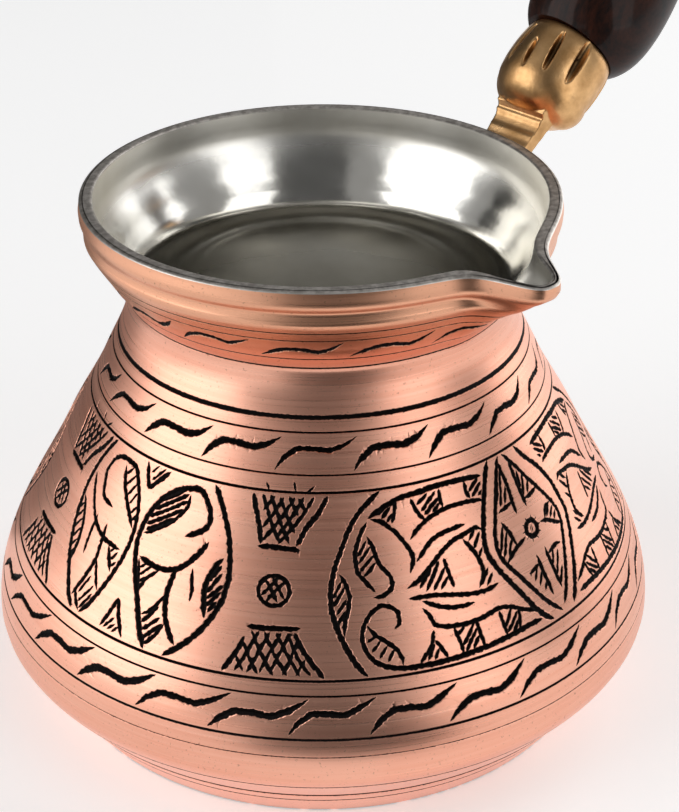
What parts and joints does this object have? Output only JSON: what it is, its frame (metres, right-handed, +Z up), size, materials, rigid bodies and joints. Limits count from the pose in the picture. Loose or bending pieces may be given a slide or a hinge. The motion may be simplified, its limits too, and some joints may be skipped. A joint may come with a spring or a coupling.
{
  "type": "turkish coffee pot cezve",
  "caption": "Small engraved copper coffee pot with a wide belly, pinched neck, beaten pouring lip, tinned inside, brass bracket and long turned wooden handle.",
  "frame": {"origin": "centre of the flat underside, on the pot's axis", "axes": "+Z up the pot's axis, +X towards the handle, -Y towards the pouring lip"},
  "size_m": [0.1895, 0.1002, 0.1525],
  "materials": {
    "copper": "brushed",
    "tin": "satin",
    "brass": "satin",
    "rivet_copper": "satin",
    "steel": "satin",
    "dark_wood": "gloss"
  },
  "bodies": {
    "pot": {"copper_body": "copper", "tin_lining": "tin", "handle_bracket": "brass", "bracket_rivets": "rivet_copper", "handle_rod": "steel", "wood_handle": "dark_wood", "end_cap": "brass"},
    "ring": {"hang_ring": "brass"}
  },
  "joints": [
    {"name": "ring_swing", "type": "hinge", "parent": "pot", "child": "ring", "pos_m": [0.13575, 0, 0.1488], "axis": [0, -1, 0], "range_deg": [-18, 250]}
  ]
}
